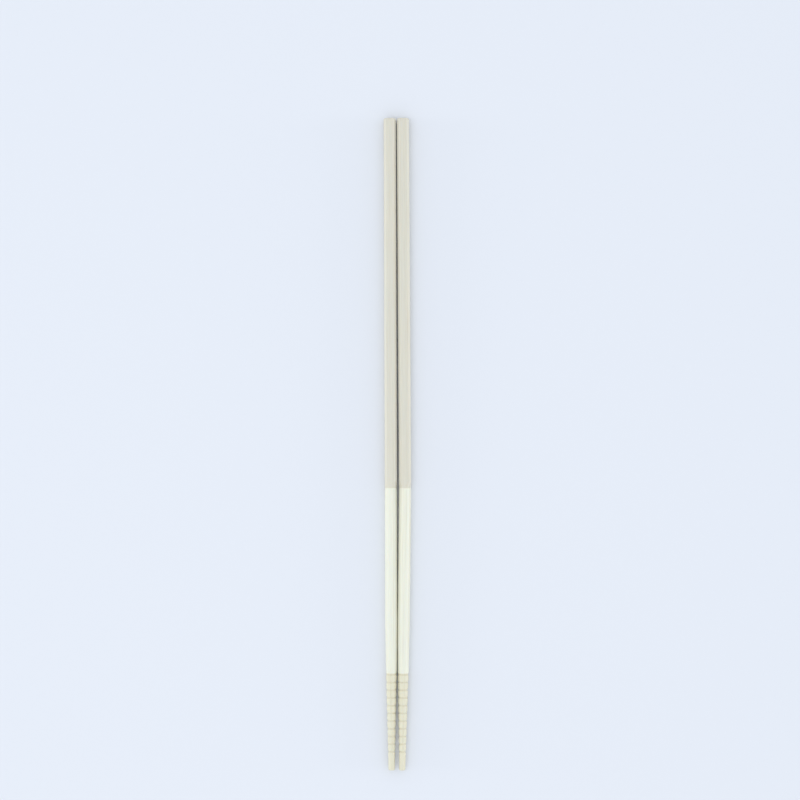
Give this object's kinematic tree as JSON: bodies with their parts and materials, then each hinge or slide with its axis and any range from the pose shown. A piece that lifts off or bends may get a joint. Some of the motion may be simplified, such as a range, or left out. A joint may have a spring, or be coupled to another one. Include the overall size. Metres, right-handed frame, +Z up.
{
  "type": "pair of cooking chopsticks",
  "caption": "Long bamboo cooking chopsticks lying side by side: square bevelled handles, round bodies that taper to grooved grips and smooth tips.",
  "frame": {"origin": "middle of the pair's bounding box, on the flat surface that the sticks lie on", "axes": "+Y along the sticks towards their handle ends, +X to the right seen from above with the handles away from the viewer, +Z up"},
  "size_m": [0.014, 0.33, 0.0062],
  "materials": {
    "bamboo": "smooth pale bamboo with fine lengthwise fibres, planed handle and turned body, no varnish"
  },
  "bodies": {
    "root": {"left_chopstick": "bamboo", "right_chopstick": "bamboo"}
  },
  "joints": []
}
